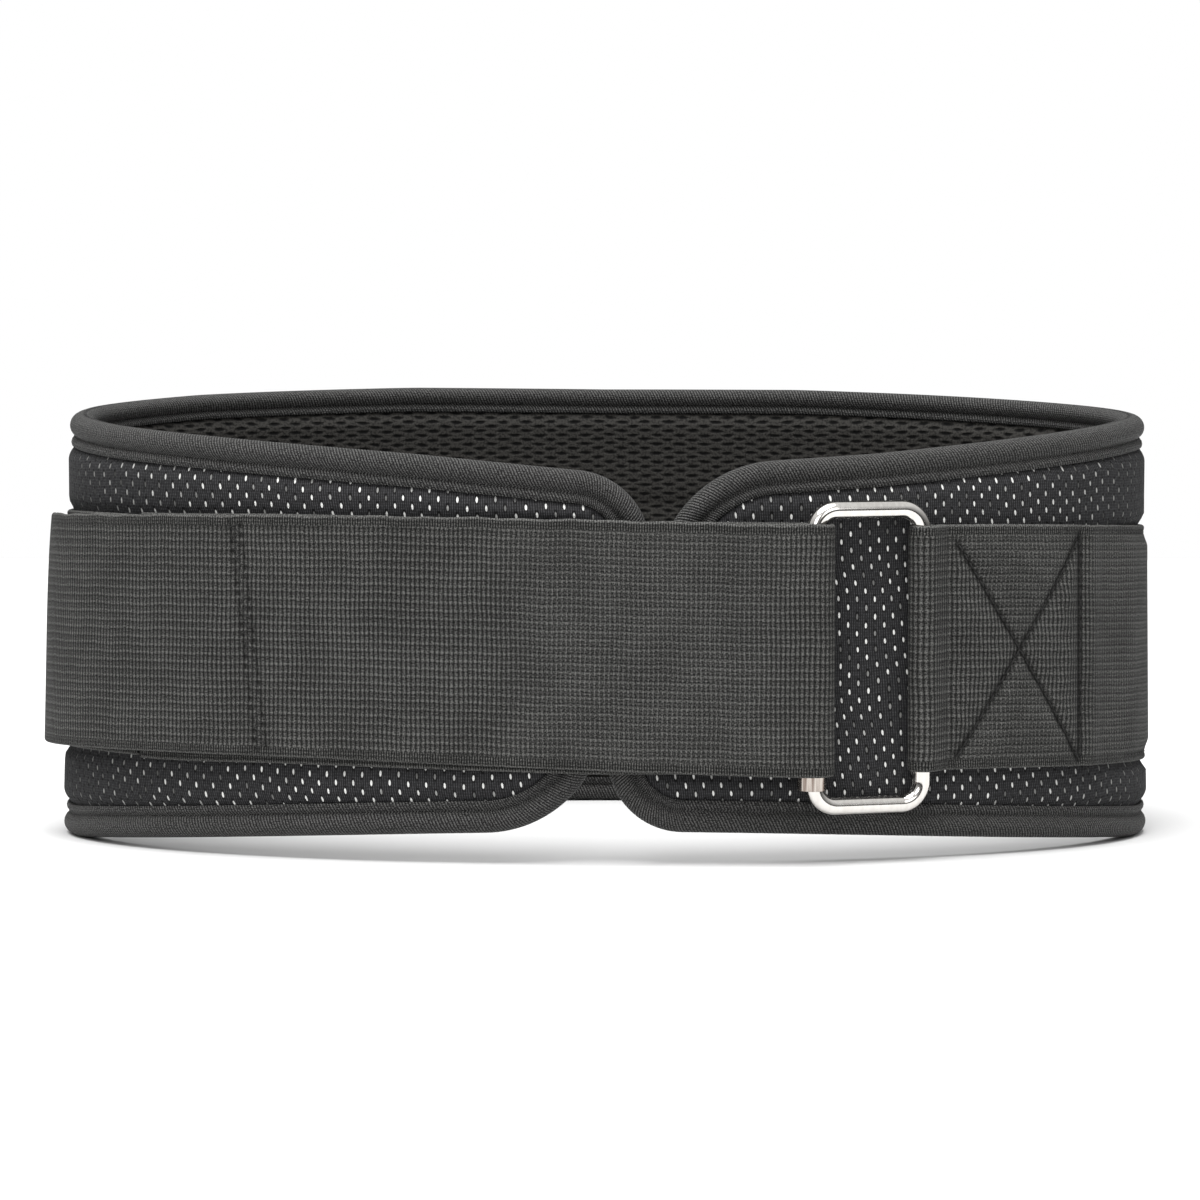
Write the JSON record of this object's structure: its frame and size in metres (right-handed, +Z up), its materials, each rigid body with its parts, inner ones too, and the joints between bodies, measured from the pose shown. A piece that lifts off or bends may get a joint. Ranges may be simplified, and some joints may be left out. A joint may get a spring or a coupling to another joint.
{
  "type": "padded weightlifting belt",
  "caption": "Tapered padded waist belt standing on its edge, closed by wide webbing through a rectangular ring with a roller.",
  "frame": {"origin": "middle of the belt's bounding box at its foot, on the surface that it stands on", "axes": "+X towards the ring's side, -Y out of the front where the belt closes, +Z up"},
  "size_m": [0.3558, 0.2032, 0.14],
  "materials": {
    "mesh_fabric": "matte",
    "lining_mesh": "matte",
    "binding_tape": "matte",
    "webbing": "matte",
    "fastener": "matte",
    "bright_metal": "polished"
  },
  "bodies": {
    "root": {"shell_panel": "mesh_fabric", "lining": "lining_mesh", "edge_binding": "binding_tape", "ring_strap": "webbing", "pull_strap": "webbing", "loop_pad": "fastener", "hook_pad": "fastener", "ring": "bright_metal", "roller": "bright_metal"}
  },
  "joints": []
}
